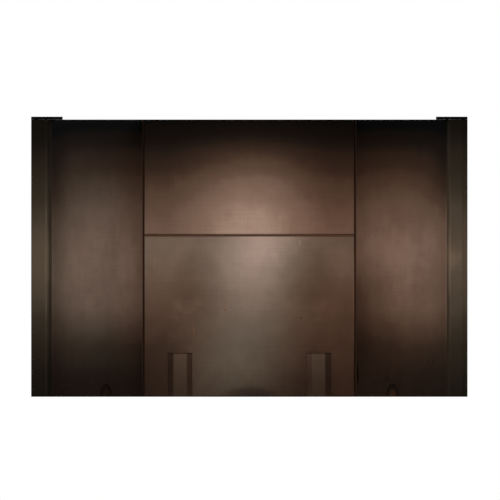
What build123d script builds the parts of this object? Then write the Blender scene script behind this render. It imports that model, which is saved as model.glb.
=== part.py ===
from build123d import *
import os

os.makedirs("parts", exist_ok=True)

# Steel-faced firebox liner: a back wall of two stacked trays, two angled side trays and
# a front trim on each side. Millimetres, +Z up, +X to the viewer's right, +Y to the back.
# The origin is under the middle of the liner, on the surface that it stands on.

# Overall sizes
overall_width = 914.4
panel_height = 581.0
back_face_depth = 342.0
back_width = 442.2
trim_face_width = 36.0
seam_height = 338.2

# Sheet metal and folds
face_sheet = 1.5
trim_sheet = 1.5
frame_sheet = 1.5
clip_sheet = 2.0
fold_radius = 2.5
corner_relief = 2.5

# Refractory boards behind the faces
board_thickness = 19.0
expansion_gap = 6.0
board_chamfer = 2.0
post_cover = 25.0

# Corners between the back and side trays
corner_gap = 2.0
corner_lead = 1.0
post_nose_radius = 5.0

# Front edge of each side tray
lip_width = 12.0
return_setback = 14.0
trim_return = 26.0
flange_width = 32.0
stile_leg = 14.5

# Log stops
stop_spacing = 290.4
stop_base_width = 53.5
stop_face_width = 29.5
stop_depth = 18.0
stop_height = 92.0
stop_sheet = 1.5
stop_flange = 13.0

# Gas ports in the side trays
port_radius = 27.0
port_from_front = 240.0
cover_lap = 5.0
cover_sheet = 1.5
cover_clearance = 2.0
foot_clearance = 1.5

# Top clips, brackets and pivots
clip_length = 66.0
clip_width = 26.0
clip_inset = 1.0
clip_rise = 6.0
clip_float = 0.03
pivot_inset = 9.0
shoulder_radius = 4.0
shoulder_clearance = 0.1
pivot_head_radius = 6.0
pivot_head_height = 2.0
pivot_thread_radius = 2.5
pivot_thread_length = 8.0
bracket_leg = 20.0
bracket_width = 14.7
bracket_length = 20.0

# Seam strip and rails
seam_recess = 3.0
seam_end_gap = 1.5
seam_flange = 44.0
rail_leg = 30.0
rail_depth = 20.0
fixing_spacing = 360.0
fixing_radius = 3.25
trim_hole_radius = 2.4
trim_hole_setback = 16.0
trim_hole_inset = 50.0

# Fasteners
screw_radius = 1.9
screw_clearance = 0.25
screw_head_radius = 3.6
screw_head_height = 2.2
screw_length = 7.0
screw_setback = 14.5
screw_inset = 50.0
screw_stagger = 15.0
cross_slot = 1.0
stud_radius = 2.0
stud_length = 11.0
stud_inset = 40.0
stud_count = 5
nut_width = 7.0
nut_height = 3.2
rivet_radius = 1.6
rivet_tail_radius = 2.6
rivet_tail_height = 2.0
rivet_head_radius = 3.2
rivet_head_height = 1.2
rivet_inset = 18.0
pocket_clearance = 1.0

# Layers from front to back
tray_depth = face_sheet + board_thickness
return_depth = tray_depth - fold_radius + frame_sheet
total_depth = back_face_depth + tray_depth + frame_sheet + rail_depth
front = -total_depth / 2
back_face = front + back_face_depth
tray_back = back_face + tray_depth
rail_front = tray_back + frame_sheet
seam_gap = 2 * frame_sheet
seam_bottom = seam_height - seam_gap / 2
seam_top = seam_height + seam_gap / 2
half_width = overall_width / 2
half_back = back_width / 2
centre_fold = fold_radius - frame_sheet / 2

# The right-hand side face in plan: a straight line from its front to its rear corner
front_corner = Vector(half_width - trim_face_width, front + trim_sheet)
rear_corner = Vector(half_back + corner_gap, back_face - corner_lead)
side_length = (rear_corner - front_corner).length
side_dir = (rear_corner - front_corner).normalized()
side_out = Vector(side_dir.Y, -side_dir.X)

back_plane = Plane((0, back_face, 0), x_dir=(1, 0, 0), z_dir=(0, 0, 1))
side_plane = Plane((front_corner + rear_corner) / 2, x_dir=-side_dir, z_dir=(0, 0, 1))


def on_side(along, depth):
    """Plan point at a distance behind the front corner of the side face and outside it."""
    return front_corner + side_dir * along + side_out * depth


def side_at_y(depth, y):
    """Plan point where the line parallel to the side face, outside it, meets a given y."""
    return on_side((y - on_side(0, depth).Y) / side_dir.Y, depth)


def side_at_x(depth, x):
    """Plan point where the line parallel to the side face, outside it, meets a given x."""
    return on_side((x - on_side(0, depth).X) / side_dir.X, depth)


def behind(panel, depth, height=0):
    """Plane parallel to a panel's face, behind it, with local y upwards and z to the fire."""
    origin = panel.origin + panel.y_dir * depth + Vector(0, 0, height)
    return Plane(origin, x_dir=panel.x_dir, z_dir=-panel.y_dir)


def folded(points, sheet, radius):
    """Sketch the section of a folded sheet from the corners of its centre line."""
    with BuildLine() as centre_line:
        FilletPolyline(*points, radius=radius)
    trace(centre_line.line, line_width=sheet)


def tray(panel, start, end, bottom, top, open_end=False):
    """Fold a tray: a face and its returns, with rounded folds and relieved corners."""
    with BuildSketch(panel.offset(bottom)) as outline:
        with Locations(((start + end) / 2, return_depth / 2)):
            Rectangle(end - start, return_depth)
    extrude(outline.sketch, amount=top - bottom)
    depth_axis = Axis(panel.origin, panel.y_dir)
    width_axis = Axis(panel.origin, panel.x_dir)
    face = faces().sort_by(depth_axis)[0]
    rim = face.edges().sort_by(width_axis)
    fillet(rim[:-1] if open_end else rim, radius=fold_radius)
    openings = [faces().sort_by(depth_axis)[-1]]
    if open_end:
        openings.append(faces().sort_by(width_axis)[-1])
    offset(amount=-face_sheet, openings=openings)
    with BuildSketch(behind(panel, return_depth, (bottom + top) / 2)) as reliefs:
        with Locations(((start + end) / 2, 0)):
            with GridLocations(end - start - corner_relief, top - bottom - corner_relief, 2, 2):
                Rectangle(corner_relief, corner_relief)
    extrude(reliefs.sketch, amount=return_depth - fold_radius, mode=Mode.SUBTRACT)


def board(panel, start, end, bottom, top):
    """Cut a flat fibre board that lies on the back of a face, with eased front edges."""
    with BuildSketch(behind(panel, tray_depth, (bottom + top) / 2)) as outline:
        with Locations(((start + end) / 2, 0)):
            Rectangle(end - start, top - bottom)
    extrude(outline.sketch, amount=board_thickness)
    chamfer(faces().sort_by(Axis(panel.origin, panel.y_dir))[0].edges(), length=board_chamfer)


def drill(place, radius, depth):
    """Drill a round hole from a plane against its z direction."""
    with BuildSketch(place) as hole:
        Circle(radius)
    extrude(hole.sketch, amount=-depth, mode=Mode.SUBTRACT)


def screw(place):
    """Turn a domed screw whose head stands on a plane, and cut its cross slot."""
    section = Plane(place.origin, x_dir=place.x_dir, z_dir=-place.y_dir)
    with BuildSketch(section) as half_section:
        with BuildLine():
            dome = ThreePointArc(
                (0, screw_head_height),
                (0.7 * screw_head_radius, 0.8 * screw_head_height),
                (screw_head_radius, 0.2 * screw_head_height),
            )
            Polyline(
                dome @ 1,
                (screw_head_radius, 0),
                (screw_radius, 0),
                (screw_radius, screw_radius - screw_length),
                (0, -screw_length),
                dome @ 0,
            )
        make_face()
    revolve(half_section.sketch, axis=Axis(place.origin, place.z_dir))
    with BuildSketch(place.offset(screw_head_height)) as cross:
        Rectangle(screw_head_radius, cross_slot)
        Rectangle(cross_slot, screw_head_radius)
    extrude(cross.sketch, amount=-screw_head_height / 2, mode=Mode.SUBTRACT)


def spread(bottom, top, count):
    """Heights of a row of fasteners, evenly spaced between two heights."""
    return [bottom + (top - bottom) * step / (count - 1) for step in range(count)]


def save(piece, name):
    """Label a finished piece and write it."""
    piece.part.label = name
    export_step(piece.part, f"parts/{name}.step")


def save_pair(piece, name):
    """Write a right-hand piece and its mirror image."""
    save(piece, f"right_{name}")
    with BuildPart() as twin:
        mirror(piece.part, about=Plane.YZ)
    save(twin, f"left_{name}")


# Screw positions: through the corner posts into the tray returns, from outside
back_screw_heights = spread(screw_inset, seam_bottom - screw_inset, 3)
back_screw_heights += spread(seam_top + screw_inset, panel_height - screw_inset, 2)
post_screws = [
    Plane((half_back + frame_sheet, back_face + screw_setback, height), z_dir=(1, 0, 0))
    for height in back_screw_heights
]
side_screws = [
    Plane(
        on_side(side_length + frame_sheet, screw_setback) + Vector(0, 0, height + screw_stagger),
        z_dir=side_dir,
    )
    for height in back_screw_heights
]

# Screws that point forwards into the gap beside the back boards
gap_centre = half_back - face_sheet - expansion_gap / 2
rail_screws = [
    Plane((gap_centre, rail_front + frame_sheet, height), z_dir=(0, 1, 0))
    for height in (rail_leg / 2, panel_height - rail_leg / 2)
]
strip_screws = [
    Plane((gap_centre, rail_front + frame_sheet, height), z_dir=(0, 1, 0))
    for height in (seam_height - seam_flange / 4, seam_height + seam_flange / 4)
]

# Lower back tray, with rivet holes for the log stops
stop_centres = (-stop_spacing / 2, stop_spacing / 2)
rivet_offset = stop_base_width / 2 - stop_flange / 2 - stop_sheet / 2
rivet_places = [
    Plane((centre + side * rivet_offset, back_face, height), z_dir=(0, -1, 0))
    for centre in stop_centres
    for side in (-1, 1)
    for height in (rivet_inset, stop_height - rivet_inset)
]
with BuildPart() as lower_back_panel:
    tray(back_plane, -half_back, half_back, 0, seam_bottom)
    for place in rivet_places:
        drill(place, rivet_radius, face_sheet)
    for place in post_screws[:3]:
        drill(place, screw_radius, frame_sheet + 2 * face_sheet)
        drill(
            Plane((-place.origin.X, place.origin.Y, place.origin.Z), z_dir=(-1, 0, 0)),
            screw_radius,
            frame_sheet + 2 * face_sheet,
        )
save(lower_back_panel, "lower_back_panel")

# Upper back tray
with BuildPart() as upper_back_panel:
    tray(back_plane, -half_back, half_back, seam_top, panel_height)
    for place in post_screws[3:]:
        drill(place, screw_radius, frame_sheet + 2 * face_sheet)
        drill(
            Plane((-place.origin.X, place.origin.Y, place.origin.Z), z_dir=(-1, 0, 0)),
            screw_radius,
            frame_sheet + 2 * face_sheet,
        )
save(upper_back_panel, "upper_back_panel")

# Right side tray: open towards the front, where a flange runs behind the trim
flange_end = front_corner.X + flange_width
flange_front = front + trim_sheet
stile_front = flange_front + face_sheet
stud_x = flange_end - stile_leg / 2 + frame_sheet / 2
stud_heights = spread(stud_inset, panel_height - stud_inset, stud_count)
side_half = side_length / 2
tray_end = side_half - fold_radius - face_sheet
port_x = side_half - port_from_front
with BuildPart() as right_side_panel:
    tray(side_plane, -side_half, tray_end, 0, panel_height, open_end=True)
    with BuildSketch(behind(side_plane, tray_depth, panel_height / 2)):
        with Locations((side_half - return_setback / 2, 0)):
            with GridLocations(0, panel_height - 2 * fold_radius, 1, 2):
                Rectangle(return_setback, 2 * fold_radius)
    extrude(amount=tray_depth - fold_radius, mode=Mode.SUBTRACT)
    with BuildSketch(behind(side_plane, fold_radius)):
        with Locations((port_x, 0)):
            Circle(port_radius)
    extrude(amount=fold_radius, mode=Mode.SUBTRACT)
    for place in side_screws:
        drill(place, screw_radius, frame_sheet + 2 * face_sheet)
    with BuildSketch(Plane.XY.offset(fold_radius)):
        folded(
            (
                on_side(return_setback - fold_radius, face_sheet / 2),
                side_at_y(face_sheet / 2, flange_front + face_sheet / 2),
                (flange_end, flange_front + face_sheet / 2),
            ),
            face_sheet,
            centre_fold,
        )
    extrude(amount=panel_height - 2 * fold_radius)
    for height in stud_heights:
        stud_seat = Plane((stud_x, stile_front, height), z_dir=(0, 1, 0))
        drill(stud_seat, stud_radius + screw_clearance, face_sheet)
save_pair(right_side_panel, "side_panel")

# Refractory boards, standing on the bottom returns with an expansion gap on the other sides
board_half = half_back - face_sheet - expansion_gap
with BuildPart() as lower_back_board:
    board(
        back_plane,
        -board_half,
        board_half,
        face_sheet,
        seam_bottom - face_sheet - expansion_gap,
    )
    for place in rivet_places:
        pocket = Plane((place.origin.X, back_face + face_sheet, place.origin.Z), z_dir=(0, -1, 0))
        drill(
            pocket,
            rivet_head_radius + pocket_clearance,
            rivet_head_height + pocket_clearance,
        )
save(lower_back_board, "lower_back_board")

with BuildPart() as upper_back_board:
    board(
        back_plane,
        -board_half,
        board_half,
        seam_top + face_sheet,
        panel_height - face_sheet - expansion_gap,
    )
save(upper_back_board, "upper_back_board")

with BuildPart() as right_side_board:
    board(
        side_plane,
        face_sheet + expansion_gap - side_half,
        side_half - expansion_gap,
        face_sheet,
        panel_height - face_sheet - expansion_gap,
    )
    with BuildSketch(behind(side_plane, tray_depth)):
        with Locations((port_x, 0)):
            Circle(port_radius + cover_lap + cover_clearance)
    extrude(amount=board_thickness, mode=Mode.SUBTRACT)
save_pair(right_side_board, "side_board")

# Half-round plate spot-welded behind the gas port, with a narrower foot on the return
with BuildPart() as right_gas_port_cover:
    with BuildSketch(behind(side_plane, face_sheet + cover_sheet)):
        with Locations((port_x, 0)):
            Circle(port_radius + cover_lap)
        with Locations((port_x, fold_radius)):
            Rectangle(
                2 * (port_radius + cover_lap),
                port_radius + cover_lap,
                align=(Align.CENTER, Align.MIN),
                mode=Mode.INTERSECT,
            )
        with Locations((port_x, face_sheet)):
            Rectangle(
                2 * (port_radius - foot_clearance),
                fold_radius,
                align=(Align.CENTER, Align.MIN),
            )
    extrude(amount=cover_sheet)
save_pair(right_gas_port_cover, "gas_port_cover")

# Corner post: a V that stands in the wedge between the tray returns, with two flanges
# that cover the edges of the boards
post_line = half_back + frame_sheet / 2
post_back = tray_back + frame_sheet / 2
leg_line = side_length + frame_sheet / 2
post_tip = on_side(leg_line, 0)
post_apex = post_tip + side_out * ((post_line - post_tip.X) / side_out.X)
with BuildPart() as right_corner_post:
    with BuildSketch():
        folded(
            (
                (post_line - post_cover, post_back),
                (post_line, post_back),
                post_apex,
                on_side(leg_line, tray_depth + frame_sheet / 2),
                on_side(leg_line - post_cover, tray_depth + frame_sheet / 2),
            ),
            frame_sheet,
            (centre_fold, post_nose_radius, centre_fold),
        )
    extrude(amount=panel_height)
    for place in post_screws + side_screws:
        drill(place, screw_radius + screw_clearance, frame_sheet)
    for place in rail_screws + strip_screws:
        drill(place, screw_radius, 2 * frame_sheet)
save_pair(right_corner_post, "corner_post")

# Front trim: it hides the side tray's flange and wraps its front edge with a lip
trim_line = front + trim_sheet / 2
with BuildPart() as right_front_trim:
    with BuildSketch():
        folded(
            (
                on_side(lip_width, -trim_sheet / 2),
                side_at_y(-trim_sheet / 2, trim_line),
                (half_width - trim_sheet / 2, trim_line),
                (half_width - trim_sheet / 2, front + trim_return),
            ),
            trim_sheet,
            centre_fold,
        )
    extrude(amount=panel_height)
    for height in (trim_hole_inset, panel_height - trim_hole_inset):
        hole = Plane((half_width, front + trim_hole_setback, height), z_dir=(1, 0, 0))
        drill(hole, trim_hole_radius, trim_sheet)
save_pair(right_front_trim, "front_trim")

# Front stile: it clamps the flange and covers the front edge of the side board
stile_line = stile_front + frame_sheet / 2
stile_x = flange_end - stile_leg + frame_sheet / 2
stile_turn = side_at_x(tray_depth + frame_sheet / 2, stile_x)
with BuildPart() as right_front_stile:
    with BuildSketch():
        folded(
            (
                (flange_end, stile_line),
                (stile_x, stile_line),
                stile_turn,
                stile_turn + side_dir * post_cover,
            ),
            frame_sheet,
            centre_fold,
        )
    extrude(amount=panel_height)
    for height in stud_heights:
        stud_seat = Plane((stud_x, stile_front + frame_sheet, height), z_dir=(0, 1, 0))
        drill(stud_seat, stud_radius + screw_clearance, frame_sheet)
save_pair(right_front_stile, "front_stile")

# Weld studs on the back of the trims, and their nuts
with BuildPart() as trim_studs:
    for side in (-1, 1):
        for height in stud_heights:
            with BuildSketch(Plane((side * stud_x, flange_front, height), z_dir=(0, 1, 0))):
                Circle(stud_radius)
            extrude(amount=stud_length)
save(trim_studs, "trim_studs")

with BuildPart() as trim_nuts:
    for side in (-1, 1):
        for height in stud_heights:
            nut_seat = (side * stud_x, stile_front + frame_sheet, height)
            with BuildSketch(Plane(nut_seat, z_dir=(0, 1, 0))):
                RegularPolygon(nut_width / 2, 6, major_radius=False)
                Circle(stud_radius, mode=Mode.SUBTRACT)
            extrude(amount=nut_height)
save(trim_nuts, "trim_nuts")

# Log stops: closed-top hat sections with inward flanges, riveted from behind
stop_line = back_face - stop_sheet / 2
stop_front = back_face - stop_depth
base_half = (stop_base_width - stop_sheet) / 2
face_half = (stop_face_width - stop_sheet) / 2
for centre, side_name in zip(stop_centres, ("left", "right")):
    with BuildPart() as log_stop:
        with BuildSketch():
            folded(
                (
                    (centre - base_half + stop_flange, stop_line),
                    (centre - base_half, stop_line),
                    (centre - face_half, stop_front + stop_sheet / 2),
                    (centre + face_half, stop_front + stop_sheet / 2),
                    (centre + base_half, stop_line),
                    (centre + base_half - stop_flange, stop_line),
                ),
                stop_sheet,
                centre_fold,
            )
        extrude(amount=stop_height)
        with BuildSketch(Plane.XY.offset(stop_height)):
            with BuildLine():
                Polyline(
                    (centre - face_half, stop_front + stop_sheet / 2),
                    (centre + face_half, stop_front + stop_sheet / 2),
                    (centre + base_half, stop_line),
                    (centre - base_half, stop_line),
                    close=True,
                )
            make_face()
        extrude(amount=-stop_sheet)
        for place in rivet_places:
            seat = Plane((place.origin.X, back_face, place.origin.Z), z_dir=(0, 1, 0))
            drill(seat, rivet_radius, stop_sheet)
    save(log_stop, f"{side_name}_log_stop")

# Blind rivets: a wide head behind the tray face and a swollen tail inside each stop
with BuildPart() as log_stop_rivets:
    for place in rivet_places:
        with BuildSketch(place.offset(-face_sheet)):
            Circle(rivet_head_radius)
        extrude(amount=-rivet_head_height)
        with BuildSketch(place.offset(-face_sheet)):
            Circle(rivet_radius)
        extrude(amount=face_sheet + stop_sheet)
        with BuildSketch(place.offset(stop_sheet)):
            Circle(rivet_tail_radius)
        extrude(amount=rivet_tail_height)
save(log_stop_rivets, "log_stop_rivets")

# Seam strip: a T that closes the gap between the back trays and ties the posts together
with BuildPart() as seam_strip:
    with BuildSketch(Plane.XY.offset(seam_bottom)):
        with Locations((0, (back_face + seam_recess + tray_back) / 2)):
            Rectangle(back_width - 2 * seam_end_gap, tray_depth - seam_recess)
        with Locations((0, tray_back + frame_sheet / 2)):
            Rectangle(2 * (post_line - post_cover - expansion_gap), frame_sheet)
    extrude(amount=seam_gap)
    with BuildSketch(Plane.XZ.offset(-rail_front)):
        with Locations((0, seam_height)):
            Rectangle(2 * (half_back + frame_sheet), seam_flange)
    extrude(amount=-frame_sheet)
    for place in strip_screws:
        drill(place, screw_radius + screw_clearance, frame_sheet)
        twin_place = Plane((-place.origin.X, place.origin.Y, place.origin.Z), z_dir=(0, 1, 0))
        drill(twin_place, screw_radius + screw_clearance, frame_sheet)
save(seam_strip, "seam_strip")

# Z-section rails across the posts, with the holes that fix the liner to the firebox
rail_line = rail_front + frame_sheet / 2
rail_rear = tray_back + frame_sheet + rail_depth - frame_sheet / 2
fixing_height = rail_leg * 1.5
for name, foot, turn in (("bottom_rail", 0, 1), ("top_rail", panel_height, -1)):
    with BuildPart() as rail:
        with BuildSketch(Plane.YZ.offset(-half_back - frame_sheet)):
            folded(
                (
                    (rail_line, foot),
                    (rail_line, foot + turn * rail_leg),
                    (rail_rear, foot + turn * rail_leg),
                    (rail_rear, foot + turn * 2 * rail_leg),
                ),
                frame_sheet,
                centre_fold,
            )
        extrude(amount=2 * (half_back + frame_sheet))
        for side in (-1, 1):
            seat = (side * gap_centre, rail_front + frame_sheet, foot + turn * rail_leg / 2)
            drill(Plane(seat, z_dir=(0, 1, 0)), screw_radius + screw_clearance, frame_sheet)
            fixing = (
                side * fixing_spacing / 2,
                rail_rear + frame_sheet / 2,
                foot + turn * fixing_height,
            )
            drill(Plane(fixing, z_dir=(0, 1, 0)), fixing_radius, frame_sheet)
    save(rail, name)

# Screws of the posts, the rails and the seam strip, on both sides
for name, places in (
    ("corner_screws", post_screws + side_screws),
    ("rail_screws", rail_screws),
    ("seam_screws", strip_screws),
):
    with BuildPart() as screws:
        for place in places:
            screw(place)
        mirror(about=Plane.YZ)
    save(screws, name)

# Angle in the top corner behind the trim, which carries the clip's pivot
bracket_wall = half_width - trim_sheet - frame_sheet / 2
bracket_top = panel_height - frame_sheet / 2
bracket_front = front + trim_return - bracket_length
pivot = (half_width - pivot_inset, front + clip_inset + clip_width / 2 + clip_inset, panel_height)
with BuildPart() as right_clip_bracket:
    with BuildSketch(Plane.XZ.offset(-bracket_front)):
        folded(
            (
                (bracket_wall, panel_height - bracket_leg),
                (bracket_wall, bracket_top),
                (bracket_wall - bracket_width, bracket_top),
            ),
            frame_sheet,
            centre_fold,
        )
    extrude(amount=-bracket_length)
    drill(Plane(pivot), pivot_thread_radius, frame_sheet)
save_pair(right_clip_bracket, "clip_bracket")

# Turning clip: a flat arm over the side tray with its front edge turned up
clip_bottom = panel_height + clip_float
clip_line = clip_bottom + clip_sheet / 2
clip_front = front + clip_inset + clip_sheet / 2
with BuildPart() as right_top_clip:
    with BuildSketch(Plane.YZ.offset(half_width - clip_length)):
        folded(
            (
                (front + clip_inset + clip_width, clip_line),
                (clip_front, clip_line),
                (clip_front, panel_height + clip_rise),
            ),
            clip_sheet,
            clip_sheet,
        )
    extrude(amount=clip_length)
    drill(
        Plane(pivot).offset(clip_float + clip_sheet),
        shoulder_radius + shoulder_clearance,
        clip_sheet,
    )
save_pair(right_top_clip, "top_clip")

# Shoulder screw, the clip's pivot
shoulder_height = clip_float + clip_sheet + clip_float
with BuildPart() as right_clip_screw:
    with BuildSketch(Plane(pivot)):
        Circle(shoulder_radius)
    extrude(amount=shoulder_height)
    with BuildSketch(Plane(pivot).offset(shoulder_height)):
        Circle(pivot_head_radius)
    extrude(amount=pivot_head_height)
    with BuildSketch(Plane(pivot)):
        Circle(pivot_thread_radius)
    extrude(amount=-pivot_thread_length)
    with BuildSketch(Plane(pivot).offset(shoulder_height + pivot_head_height)):
        Rectangle(2 * pivot_head_radius, cross_slot)
    extrude(amount=-pivot_head_height / 2, mode=Mode.SUBTRACT)
save_pair(right_clip_screw, "clip_screw")
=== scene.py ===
from math import radians

import bpy
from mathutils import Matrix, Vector

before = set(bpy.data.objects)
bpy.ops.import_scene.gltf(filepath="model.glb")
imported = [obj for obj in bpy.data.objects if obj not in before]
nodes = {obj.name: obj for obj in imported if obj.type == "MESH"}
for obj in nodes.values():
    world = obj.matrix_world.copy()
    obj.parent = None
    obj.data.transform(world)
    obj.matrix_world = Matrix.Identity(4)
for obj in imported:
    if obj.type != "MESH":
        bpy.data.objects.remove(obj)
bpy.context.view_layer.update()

# The four refractory boards. Each is a vacuum-formed slab of mineral fibre and cement
# that lies loose in its steel tray and is held by the posts and stiles. From behind it
# shows as the large pale faces of the liner, scorched towards the top.


class Wire:
    """A value on its way through a material: plain operators on it add Math nodes."""

    def __init__(self, finish, socket):
        self.finish = finish
        self.socket = socket

    def math(self, operation, first, second):
        sockets = {0: first, 1: second}
        return self.finish.node("ShaderNodeMath", {"operation": operation}, sockets).out()

    def __add__(self, other):
        return self.math("ADD", self, other)

    __radd__ = __add__

    def __mul__(self, other):
        return self.math("MULTIPLY", self, other)

    __rmul__ = __mul__

    def __sub__(self, other):
        return self.math("SUBTRACT", self, other)

    def __rsub__(self, other):
        return self.math("SUBTRACT", other, self)

    def __truediv__(self, other):
        return self.math("DIVIDE", self, other)

    def __pow__(self, other):
        return self.math("POWER", self, other)

    def __abs__(self):
        return self.math("ABSOLUTE", self, 0.0)


class Node:
    """One node of a material, whose outputs are read as wires."""

    def __init__(self, finish, node):
        self.finish = finish
        self.node = node

    def out(self, name=0):
        return Wire(self.finish, self.node.outputs[name])


class Finish:
    """A procedural finish: one Principled shader and the nodes that drive it."""

    def __init__(self, name, **constants):
        self.material = bpy.data.materials.new(name)
        self.material.use_nodes = True
        self.tree = self.material.node_tree
        self.shader = self.tree.nodes["Principled BSDF"]
        for socket, value in constants.items():
            self.shader.inputs[socket.replace("_", " ")].default_value = value
        place = self.node("ShaderNodeTexCoord")
        self.point = place.out("Object")
        axes = self.node("ShaderNodeSeparateXYZ", sockets={0: self.point})
        self.x, self.y, self.z = (axes.out(name) for name in "XYZ")

    def node(self, kind, settings=None, sockets=None):
        made = self.tree.nodes.new(kind)
        for name, value in (settings or {}).items():
            if name == "stops":
                self.set_stops(made.color_ramp, value)
            else:
                setattr(made, name, value)
        for key, value in (sockets or {}).items():
            if isinstance(value, Wire):
                self.tree.links.new(value.socket, made.inputs[key])
            else:
                made.inputs[key].default_value = value
        return Node(self, made)

    def set_stops(self, ramp, stops):
        ramp.interpolation = "CARDINAL"
        while len(ramp.elements) < len(stops):
            ramp.elements.new(0.5)
        for element, (position, colour) in zip(ramp.elements, stops):
            element.position = position
            element.color = (*colour, 1.0)

    def ramp(self, value, stops):
        """Colour along a value, through given stops."""
        return self.node("ShaderNodeValToRGB", {"stops": stops}, {0: value}).out()

    def level(self, value, *stops):
        """Number along a value, through given stops."""
        greys = [(position, (grey, grey, grey)) for position, grey in stops]
        return self.ramp(value, greys)

    def between(self, value, low, high):
        """Smooth step from 0 at low to 1 at high; low may be the larger of the two."""
        settings = {"interpolation_type": "SMOOTHSTEP"}
        sockets = {"Value": value, "From Min": low, "From Max": high}
        return self.node("ShaderNodeMapRange", settings, sockets).out()

    def noise(self, scale, detail=3.0, stretch=(1.0, 1.0, 1.0), shift=(0.0, 0.0, 0.0)):
        """Cloudy noise between 0 and 1, scale in waves per metre."""
        sockets = {"Vector": self.point, "Location": shift, "Scale": stretch}
        vector = self.node("ShaderNodeMapping", sockets=sockets).out()
        sockets = {"Vector": vector, "Scale": scale, "Detail": detail, "Roughness": 0.55}
        return self.node("ShaderNodeTexNoise", sockets=sockets).out("Fac")

    def mix(self, factor, first, second, blend="MIX"):
        """Mix two colours."""
        settings = {"data_type": "RGBA", "blend_type": blend, "clamp_factor": True}
        sockets = {"Factor": factor, 6: self.colour(first), 7: self.colour(second)}
        return self.node("ShaderNodeMix", settings, sockets).out(2)

    def colour(self, value):
        return value if isinstance(value, Wire) else (*value, 1.0)

    def feed(self, **wires):
        """Link wires to the shader's sockets."""
        for socket, wire in wires.items():
            self.tree.links.new(wire.socket, self.shader.inputs[socket.replace("_", " ")])

    def bump(self, height, distance):
        """Raise the surface by a height wire, distance in metres."""
        sockets = {"Height": height, "Distance": distance, "Strength": 1.0}
        self.feed(Normal=self.node("ShaderNodeBump", sockets=sockets).out())

    def cover(self, *names):
        """Give the finish to CAD nodes."""
        for name in names:
            materials = nodes[name].data.materials
            materials.clear()
            materials.append(self.material)


tan_fibre, pale_fibre = (0.50, 0.43, 0.335), (0.66, 0.60, 0.50)
fleck_brown, scorch_brown = (0.27, 0.21, 0.15), (0.20, 0.14, 0.09)
scorch_from, scorch_to = 0.36, 0.585

fibre = Finish("scorched fibre board", Roughness=0.92, Metallic=0.0)
clumps = fibre.noise(38.0, detail=5.0)
specks = fibre.noise(420.0, detail=2.0)
strands = fibre.noise(160.0, detail=4.0, stretch=(1.0, 1.0, 0.22), shift=(0.3, 0.1, 0.0))
scorch = fibre.between(fibre.z, scorch_from, scorch_to) * fibre.between(clumps, 0.25, 0.75)
pale = fibre.mix(clumps, tan_fibre, pale_fibre)
flecked = fibre.mix(fibre.between(specks, 0.56, 0.72) * 0.55, pale, fleck_brown)
fibre.feed(Base_Color=fibre.mix(scorch * 0.6, flecked, scorch_brown))
fibre.bump(clumps * 0.5 + strands * 0.35 + specks * 0.3, 0.0012)
fibre.cover("lower_back_board", "upper_back_board", "left_side_board", "right_side_board")

# The frame: two front stiles, two Z-section rails and the two clip angles. All are 1.5 mm
# mill steel, brown with heat and rust, folded and screwed or spot-welded to the trays.
dark_brown, light_brown = (0.050, 0.036, 0.028), (0.105, 0.078, 0.060)
rust_red = (0.150, 0.058, 0.026)
fold_relief = 0.0002


def rusted(finish, cloud, spots):
    """Brown that clouds between two tones, with spots of rust over it."""
    return finish.mix(spots * 0.7, finish.mix(cloud, dark_brown, light_brown), rust_red)


mill = Finish("heat-browned mill steel", Metallic=0.55, Specular_IOR_Level=0.2)
cloud = mill.noise(14.0, detail=5.0)
grain = mill.noise(240.0, detail=2.0, stretch=(1.0, 1.0, 0.06))
rust_spots = mill.between(mill.noise(55.0, detail=6.0, shift=(0.7, 0.2, 0.4)), 0.55, 0.7)
mill.feed(Base_Color=rusted(mill, cloud, rust_spots))
mill.feed(Roughness=0.42 + cloud * 0.2 + rust_spots * 0.25)
mill.bump(grain * 0.4 + rust_spots * 0.6, fold_relief)
mill.cover("left_front_stile", "right_front_stile", "left_clip_bracket", "right_clip_bracket")
mill.cover("top_rail", "bottom_rail")

# The two V-folded corner posts and the T strip of the seam are the same steel. Where they
# show through the gaps between the trays their colour is darkened as painted shade, and
# red-brown at the middle heights, partly scale and partly painted light that follows the walls.
panel_top = 0.581
gap_front, gap_back = 0.1545, 0.1560
gap_shade, scale_red = (0.026, 0.015, 0.010), (0.130, 0.058, 0.033)
scale_and_light_levels = ((0.0, 0.35), (0.25, 0.6), (0.5, 1.0), (0.75, 0.5), (1.0, 0.0))

scaled = Finish("fire-scaled mill steel", Metallic=0.3, Specular_IOR_Level=0.1)
cloud = scaled.noise(22.0, detail=5.0)
rust_spots = scaled.between(scaled.noise(70.0, detail=6.0, shift=(0.2, 0.6, 0.1)), 0.52, 0.68)
# Painted shade on the faces seen through the gaps, with scale and painted light by height.
in_gap = scaled.between(scaled.y, gap_back, gap_front)
scale_and_light_share = in_gap * scaled.level(scaled.z / panel_top, *scale_and_light_levels)
gap_shade_colour = scaled.mix(in_gap, rusted(scaled, cloud, rust_spots), gap_shade)
scaled.feed(Base_Color=scaled.mix(scale_and_light_share, gap_shade_colour, scale_red))
scaled.feed(Roughness=0.55 + cloud * 0.2 + rust_spots * 0.15)
scaled.bump(cloud * 0.4 + rust_spots * 0.6, fold_relief)
scaled.cover("left_corner_post", "right_corner_post", "seam_strip")

# The two back trays: 1.5 mm steel folded round the boards, with a satin finish. Their colour
# carries a painted highlight in the middle, and darkens towards the top, the floor and the
# sides, partly as soot and partly as painted shade. The lower one is greyer in its middle,
# with two painted dark patches in its highlight, a painted highlight on its right edge, a
# faint smudge at the floor, specks and one light scratch.


def shade(red, green, blue):
    """A colour of 0 to 255 a channel, as the linear values that nodes use."""
    parts = (red / 255, green / 255, blue / 255)
    return tuple(
        part / 12.92 if part < 0.04 else ((part + 0.055) / 1.055) ** 2.4 for part in parts
    )


# Colour by level of painted light and soot, from sooted and shaded steel to lit steel.
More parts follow.
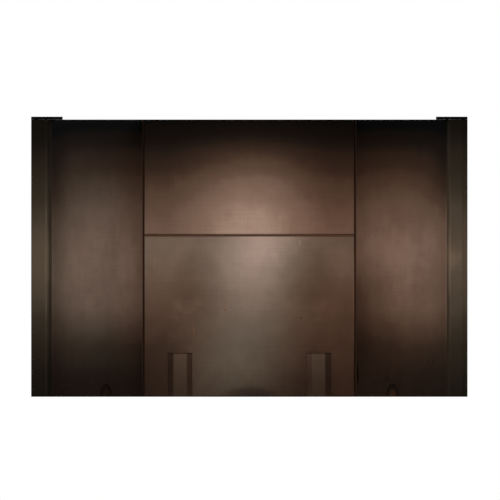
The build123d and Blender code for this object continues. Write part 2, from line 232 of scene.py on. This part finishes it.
soot_shade_to_lit_steel = (
    (0.0, shade(3, 2, 2)), (0.06, shade(11, 8, 6)), (0.24, shade(40, 29, 22)),
    (0.42, shade(70, 52, 41)), (0.60, shade(100, 78, 65)), (0.80, shade(133, 108, 93)),
    (1.0, shade(166, 139, 124)),
)
soot_shade_to_lit_grey = (
    (0.0, shade(3, 3, 2)), (0.06, shade(11, 9, 7)), (0.30, shade(49, 39, 32)),
    (0.50, shade(80, 72, 61)), (0.70, shade(113, 101, 89)), (0.85, shade(141, 121, 108)),
    (1.0, shade(166, 143, 130)),
)


def satin_steel(name, stain):
    """Satin sheet steel with its fine grain, its patches and a coarser mottling."""
    steel = Finish(name, Specular_IOR_Level=0.02)
    steel.height = steel.z / panel_top
    steel.mottle = steel.noise(7.0, detail=5.0, shift=stain) - 0.5
    steel.patches = steel.noise(34.0, detail=4.0, shift=stain) - 0.5
    grain_up = steel.noise(640.0, detail=2.0, stretch=(1.0, 1.0, 0.02))
    grain_across = steel.noise(560.0, detail=2.0, stretch=(0.02, 0.02, 1.0))
    steel.grain = grain_up * 0.5 + grain_across * 0.5 - 0.5
    return steel


def worn(steel, light_and_soot):
    """Break a smooth level of painted light and soot up with the steel's own mottling and
    grain.
    """
    return light_and_soot * (1.0 + steel.mottle * 0.30 + steel.patches * 0.13 + steel.grain * 0.17)


def mark(steel, x, z, half_x, half_z, lean=0.0):
    """Soft elliptical mark at a place on the face, 1 in its middle and 0 outside."""
    along = (steel.z - z) / half_z
    across = (steel.x - x - (steel.z - z) * lean) / half_x
    return steel.between(along * along + across * across, 1.0, 0.0)


def rust_flecks(steel, threshold, highest):
    """Fine flecks of rust, thickest at the floor and gone at the highest height."""
    flecks = steel.between(steel.noise(260.0, detail=1.0), threshold, threshold + 0.08)
    return flecks * steel.between(steel.height, highest, 0.0)


def wall_light_and_soot(steel, highlight_middle):
    """Painted light and soot of a back tray by height, from its edges to its highlighted
    middle.
    """
    edge = steel.level(steel.height, *edge_light_and_soot)
    return edge + (steel.level(steel.height, *middle_light_and_soot) - edge) * highlight_middle


def greyed(steel, light_and_soot, share):
    """Colour of a sheet by its painted light and soot: brown steel, with a share of grey."""
    return steel.mix(share, steel.ramp(light_and_soot, soot_shade_to_lit_steel), steel.ramp(light_and_soot, soot_shade_to_lit_grey))


def blushed(steel, colour):
    """Redden the colour of a back tray towards its right edge."""
    rightward = steel.between(steel.x, 0.03, 0.19)
    return steel.mix(rightward, colour, (1.0, 0.90, 0.85), "MULTIPLY")


def satin_surface(steel, colour, light_and_soot, bare=0.45):
    """Colour, gloss and relief of a satin sheet: bare metal where painted light is high, dull
    under soot and painted shade.
    """
    metal = steel.between(light_and_soot, 0.05, 0.5)
    steel.feed(Base_Color=colour, Metallic=metal * bare)
    steel.feed(Roughness=0.72 - metal * 0.28 + steel.mottle * 0.15)
    steel.bump(steel.grain * 0.6 + steel.mottle * 1.2 + steel.patches * 0.6, fold_relief)


# Level of painted light and soot by height, at the edges of a back tray and under the painted
# highlight in its middle.
edge_light_and_soot = (
    (0.0, 0.30), (0.1, 0.34), (0.2, 0.40), (0.3, 0.48), (0.4, 0.57), (0.5, 0.62),
    (0.6, 0.60), (0.7, 0.51), (0.8, 0.375), (0.9, 0.21), (1.0, 0.05),
)
middle_light_and_soot = (
    (0.0, 0.46), (0.1, 0.54), (0.2, 0.58), (0.3, 0.66), (0.4, 0.78), (0.5, 0.90),
    (0.6, 0.90), (0.7, 0.80), (0.8, 0.60), (0.9, 0.335), (1.0, 0.07),
)

# The upper tray's painted highlight: an upright band that fades out 185 mm to each side.
highlight_x, highlight_half = 0.004, 0.185
upper_steel = satin_steel("upper back steel", (0.1, 0.0, 0.4))
highlight_middle = upper_steel.between(abs(upper_steel.x - highlight_x), highlight_half, 0.0)
light_and_soot = worn(upper_steel, wall_light_and_soot(upper_steel, highlight_middle))
colour = blushed(upper_steel, upper_steel.ramp(light_and_soot, soot_shade_to_lit_steel))
satin_surface(upper_steel, colour, light_and_soot)
upper_steel.cover("upper_back_panel")

lower_steel = satin_steel("lower back steel", (0.6, 0.0, 0.1))
# The lower tray's painted highlight narrows and leans to the right as it rises.
highlight_half = 0.205 - lower_steel.height * 0.12
off_middle = abs(lower_steel.x + 0.038 - lower_steel.height * 0.11)
highlight_middle = lower_steel.between(off_middle / highlight_half, 1.0, 0.0)
light_and_soot = wall_light_and_soot(lower_steel, highlight_middle)

rubbed = mark(lower_steel, -0.136, 0.182, 0.060, 0.030)
rubbed = rubbed + mark(lower_steel, 0.150, 0.180, 0.055, 0.028)
light_and_soot = light_and_soot + rubbed * lower_steel.between(lower_steel.patches, -0.15, 0.20) * 0.055
rightward = lower_steel.between(lower_steel.x, 0.10, 0.19)
light_and_soot = light_and_soot + rightward * lower_steel.between(lower_steel.height, 0.32, 0.10) * 0.06

# Painted light: two darker patches where the painted highlight breaks up, and a thin painted
# highlight along the right edge. The smudge at the floor, the scratch and the specks are marks
# on the steel.
reflection_dark_patches = ((-0.106, 0.235, 0.070, 0.088, -0.06), (0.118, 0.258, 0.070, 0.088, -0.06))
right_edge_highlight = (0.2192, 0.20, 0.0014, 0.14, 0.16)
floor_smudge = (-0.002, 0.0, 0.070, 0.026, -0.10)
light_scratch = (0.1062, 0.322, 0.0009, 0.008, 0.25)
dark_specks = ((-0.051, 0.182, 0.002, 0.002, -0.2), (0.108, 0.165, 0.0022, 0.0022, -0.2))
single_marks = (right_edge_highlight, floor_smudge, light_scratch)
for x, z, half_x, half_z, mark_and_light_change in reflection_dark_patches + single_marks + dark_specks:
    light_and_soot = light_and_soot + mark(lower_steel, x, z, half_x, half_z) * mark_and_light_change
light_and_soot = worn(lower_steel, light_and_soot)

upward = lower_steel.between(lower_steel.height, 0.30, 0.55)
colour = blushed(lower_steel, greyed(lower_steel, light_and_soot, highlight_middle * 0.7 + upward * 0.45))
rust = mark(lower_steel, -0.116, 0.140, 0.0022, 0.016)
rust = rust + mark(lower_steel, -0.049, 0.187, 0.0025, 0.020) * 0.6
rust = rust + rust_flecks(lower_steel, 0.64, 0.14) * 0.6
colour = lower_steel.mix(rust * 0.5, colour, shade(112, 66, 44))
satin_surface(lower_steel, colour, light_and_soot)
lower_steel.cover("lower_back_panel")

# The two side trays: the same satin sheet, with a soft band of painted light up the middle of
# each, darker towards the top and the floor, partly soot and partly painted shade. The right
# one is the redder, and scratched near the corner and above the gas port.
side_light_and_soot = (
    (0.0, 0.24), (0.1, 0.30), (0.2, 0.47), (0.3, 0.72), (0.4, 0.83), (0.5, 0.85),
    (0.6, 0.80), (0.7, 0.67), (0.8, 0.45), (0.9, 0.21), (1.0, 0.0),
)
across_light_and_soot = ((0.0, 0.88), (0.2, 1.0), (0.4, 1.03), (0.6, 0.97), (0.8, 0.86), (1.0, 0.60))
side_blush = (1.0, 0.93, 0.89)
side_inner, side_outer = 0.223, 0.421
port_x = 0.3003
curl_x, curl_z = 0.2272, 0.049
left_lines = (-0.2275, -0.2300, -0.2335)
right_scratches = (
    (0.374, 0.072, 0.0012, 0.5, 0.1), (0.381, 0.064, 0.0012, 0.7, 0.1),
    (0.386, 0.075, 0.0012, 0.4, 0.1), (0.2835, 0.036, 0.0016, 0.35, 0.08),
    (0.2900, 0.038, 0.0016, -0.2, 0.08),
)
for side_name, sign, shift, grey in (("left", -1, 0.2, 0.50), ("right", 1, 0.9, 0.0)):
    side_steel = satin_steel(f"{side_name} side steel", (shift, 0.0, 0.3))
    height = side_steel.height
    reach = (side_steel.x * sign - side_inner) / (side_outer - side_inner)
    # Painted light and soot: a band up the middle, darker towards the top and the floor.
    light_and_soot = side_steel.level(height, *side_light_and_soot) * side_steel.level(reach, *across_light_and_soot)
    # Painted light along the front edge, against the shade of the trim.
    light_and_soot = light_and_soot * (1.0 + side_steel.between(reach, 0.93, 1.0) * 0.35)
    near_trim = side_steel.between(reach, 0.70, 1.0)
    light_and_soot = light_and_soot * (1.0 - near_trim * side_steel.between(height, 0.60, 0.80) * 0.30)
    round_port = mark(side_steel, sign * port_x, 0.012, 0.022, 0.030)
    light_and_soot = light_and_soot - round_port * side_steel.between(side_steel.patches, -0.15, 0.10) * 0.025
    if sign > 0:
        near_corner = side_steel.between(reach, 0.55, 0.0)
        light_and_soot = light_and_soot * (1.0 - near_corner * side_steel.between(height, 0.55, 0.35) * 0.28)
        light_and_soot = light_and_soot * (1.0 + near_trim * 0.22)
        light_and_soot = light_and_soot + near_corner * side_steel.between(height, 0.22, 0.05) * 0.10
        wander = side_steel.noise(90.0, detail=2.0) * 0.004 - 0.002
        curl = side_steel.between(abs(side_steel.x - curl_x + wander), 0.0018, 0.0006)
        light_and_soot = light_and_soot - curl * mark(side_steel, 0.227, curl_z, 0.02, 0.028) * 0.22
        for x, z, half_x, lean, depth in right_scratches:
            light_and_soot = light_and_soot - mark(side_steel, x, z, half_x, 0.010, lean) * depth
    else:
        for x in left_lines:
            light_and_soot = light_and_soot - mark(side_steel, x, 0.085, 0.0008, 0.055) * 0.06
    light_and_soot = worn(side_steel, light_and_soot)
    grey_share = side_steel.between(reach, 0.05, 0.45) * grey
    grey_share = grey_share + side_steel.between(height, 0.30, 0.05) * 0.5
    colour = greyed(side_steel, light_and_soot, grey_share)
    if sign > 0:
        inward = side_steel.between(reach, 1.0, 0.3)
        colour = side_steel.mix(inward, colour, side_blush, "MULTIPLY")
    rust = rust_flecks(side_steel, 0.66, 0.16) * 0.5
    colour = side_steel.mix(rust, colour, shade(84, 50, 36))
    satin_surface(side_steel, colour, light_and_soot, bare=0.15)
    side_steel.cover(f"{side_name}_side_panel")

# The two log stops: folded from the same sheet as the wall that they are riveted to. Their
# faces follow the painted light and soot of the wall's edges; their slanting sides are left
# brown and painted lighter against their shade, and a painted shadow line runs under the top.
stop_face_half = 0.0142
lid_shadow_from, lid_shadow_to = 0.0885, 0.0905
for side_name, centre, slant_light_gain in (("left", -0.1452, 1.25), ("right", 0.1452, 1.35)):
    stop_steel = satin_steel(f"{side_name} stop steel", (0.6, 0.0, 0.1))
    from_centre = abs(stop_steel.x - centre)
    slant = stop_steel.between(from_centre, stop_face_half, stop_face_half + 0.001)
    # A painted shadow line under the top; the slanting sides painted lighter against their
    # shade.
    lid_shadow = stop_steel.between(stop_steel.z, lid_shadow_from, lid_shadow_to)
    light_and_soot = stop_steel.level(stop_steel.height, *edge_light_and_soot) * 1.24
    light_and_soot = light_and_soot * (1.0 + slant * (slant_light_gain - 1.0)) * (1.0 - lid_shadow * 0.25)
    light_and_soot = worn(stop_steel, light_and_soot)
    satin_surface(stop_steel, greyed(stop_steel, light_and_soot, (1.0 - slant) * 0.25), light_and_soot)
    stop_steel.cover(f"{side_name}_log_stop")

# The front trims: narrow folded strips that wrap the front edge of each side tray. They
# keep more of their olive-grey factory finish, under painted light that is brightest at middle
# height and on the right trim, with a painted highlight along one fold and a painted shade
# line.
olive = (
    (0.05, shade(9, 7, 5)), (0.20, shade(33, 27, 20)), (0.40, shade(66, 56, 45)),
    (0.60, shade(99, 84, 70)), (1.0, shade(160, 138, 116)),
)
trim_light_and_soot = (
    (0.0, 0.16), (0.1, 0.19), (0.2, 0.25), (0.3, 0.34), (0.4, 0.43), (0.5, 0.48),
    (0.6, 0.42), (0.7, 0.33), (0.8, 0.24), (0.9, 0.17), (1.0, 0.11),
)
for side_name, sign, light_gain, highlight_at, shade_at in (
    ("left", -1, 1.0, 0.4262, 0.4190), ("right", 1, 1.24, 0.4190, 0.4500)
):
    trim = satin_steel(f"{side_name} trim steel", (0.3, 0.2, 0.0))
    out = trim.x * sign
    # Painted light, brightest at middle height and on the right trim, with a painted highlight
    # along one fold and a painted shade line.
    light_and_soot = trim.level(trim.height, *trim_light_and_soot) * light_gain
    light_and_soot = light_and_soot * (1.0 + trim.between(abs(out - highlight_at), 0.0030, 0.0008) * 0.16)
    light_and_soot = light_and_soot * (1.0 - trim.between(abs(out - shade_at), 0.0060, 0.0020) * 0.12)
    light_and_soot = worn(trim, light_and_soot)
    satin_surface(trim, trim.ramp(light_and_soot, olive), light_and_soot)
    trim.cover(f"{side_name}_front_trim")

# The gas port covers: bare half-round plates, spot-welded behind the ports. The right one
# has rusted in its middle, and both are dark with soot round the edge of the port.
side_slope = 2.0
port_edge, rust_edge = 0.0290, 0.0150
soot_tones = (0.009, 0.0055, 0.004), (0.020, 0.0125, 0.0095)
rust_tones = (0.020, 0.011, 0.007), (0.075, 0.034, 0.018)
for side_name, rust_share in (("left", 0.25), ("right", 0.9)):
    plate = Finish(f"{side_name} bare plate", Roughness=0.8, Specular_IOR_Level=0.0)
    cloud = plate.noise(90.0, detail=6.0)
    across = (abs(plate.x) - port_x) * side_slope
    from_port = (across * across + plate.z * plate.z) ** 0.5
    core = plate.between(from_port + cloud * 0.014, port_edge, rust_edge)
    sooted, rust = plate.mix(cloud, *soot_tones), plate.mix(cloud, *rust_tones)
    plate.feed(Base_Color=plate.mix(core * rust_share, sooted, rust))
    plate.bump(cloud, 0.0006)
    plate.cover(f"{side_name}_gas_port_cover")

# The turning clips: black-oxide steel arms on the top corners, each on a shoulder screw.
black = Finish("black oxide", Specular_IOR_Level=0.0)
cloud = black.noise(70.0, detail=4.0)
black.feed(Base_Color=black.mix(cloud, (0.0022, 0.0021, 0.0022), (0.0075, 0.0070, 0.0068)))
black.feed(Roughness=0.50 + cloud * 0.2)
black.bump(cloud, 0.0001)
black.cover("left_top_clip", "right_top_clip")

# The fasteners: zinc-plated sheet-metal screws, weld studs, nuts and blind rivets.
zinc = Finish("dull zinc plating", Metallic=0.9)
cloud = zinc.noise(300.0, detail=4.0)
zinc.feed(Base_Color=zinc.mix(cloud, (0.22, 0.20, 0.17), (0.46, 0.44, 0.39)))
zinc.feed(Roughness=0.34 + cloud * 0.25)
zinc.bump(cloud, 0.0001)
zinc.cover("left_clip_screw", "right_clip_screw", "corner_screws", "rail_screws")
zinc.cover("seam_screws", "trim_studs", "trim_nuts", "log_stop_rivets")

# The camera looks straight into the firebox from the front, without perspective, as the
# picture does: the frame is 1.048 m wide and level with the middle of the back wall.
camera_data = bpy.data.cameras.new("camera")
camera_data.type = "ORTHO"
camera_data.ortho_scale = 1.0478
camera = bpy.data.objects.new("camera", camera_data)
camera.location = (0.0014, -3.0, 0.3076)
camera.rotation_euler = (radians(90), 0, 0)
bpy.context.scene.collection.objects.link(camera)
bpy.context.scene.camera = camera
bpy.context.scene.view_settings.view_transform = "Standard"

# Three square lamps: a small one before the open side, which lights the middle of the back
# wall the most, a broad one high on the left, and a broad one behind for the boards.


def softbox(name, place, target, size, power):
    """A square area lamp that looks at a point."""
    lamp = bpy.data.lights.new(name, "AREA")
    lamp.size = size
    lamp.energy = power
    holder = bpy.data.objects.new(name, lamp)
    holder.location = place
    holder.rotation_euler = (Vector(target) - Vector(place)).to_track_quat("-Z", "Y").to_euler()
    bpy.context.scene.collection.objects.link(holder)


softbox("front softbox", (-0.1, -1.15, 0.32), (0.0, 0.15, 0.32), size=0.35, power=2.4)
softbox("high softbox", (-1.2, -1.6, 2.2), (0.0, 0.0, 0.3), size=1.6, power=16.0)
softbox("back softbox", (1.4, 2.0, 1.9), (0.0, 0.1, 0.3), size=1.6, power=30.0)

# A pale floor, and a world that is white where the camera or a reflection looks at it but
# lights the part only dimly.
floor_half = 3.0
floor_mesh = bpy.data.meshes.new("floor")
floor_mesh.from_pydata(
    [(-floor_half, -floor_half, 0), (floor_half, -floor_half, 0),
     (floor_half, floor_half, 0), (-floor_half, floor_half, 0)], [], [(0, 1, 2, 3)]
)
floor = bpy.data.objects.new("floor", floor_mesh)
bpy.context.scene.collection.objects.link(floor)
floor_finish = Finish("pale floor", Roughness=0.8)
floor_finish.shader.inputs["Base Color"].default_value = (0.78, 0.78, 0.77, 1.0)
floor_mesh.materials.append(floor_finish.material)

dim, full = 0.55, 1.0
world = bpy.data.worlds.new("studio")
bpy.context.scene.world = world
world.use_nodes = True
sky = world.node_tree
rays = sky.nodes.new("ShaderNodeLightPath")
looked_at = rays.outputs["Is Camera Ray"]
for ray_kind in ("Is Transmission Ray", "Is Glossy Ray"):
    either = sky.nodes.new("ShaderNodeMath")
    either.operation = "MAXIMUM"
    sky.links.new(looked_at, either.inputs[0])
    sky.links.new(rays.outputs[ray_kind], either.inputs[1])
    looked_at = either.outputs[0]
strength = sky.nodes.new("ShaderNodeMapRange")
strength.inputs["To Min"].default_value = dim
strength.inputs["To Max"].default_value = full
sky.links.new(looked_at, strength.inputs["Value"])
sky.nodes["Background"].inputs["Color"].default_value = (1.0, 1.0, 1.0, 1.0)
sky.links.new(strength.outputs[0], sky.nodes["Background"].inputs["Strength"])
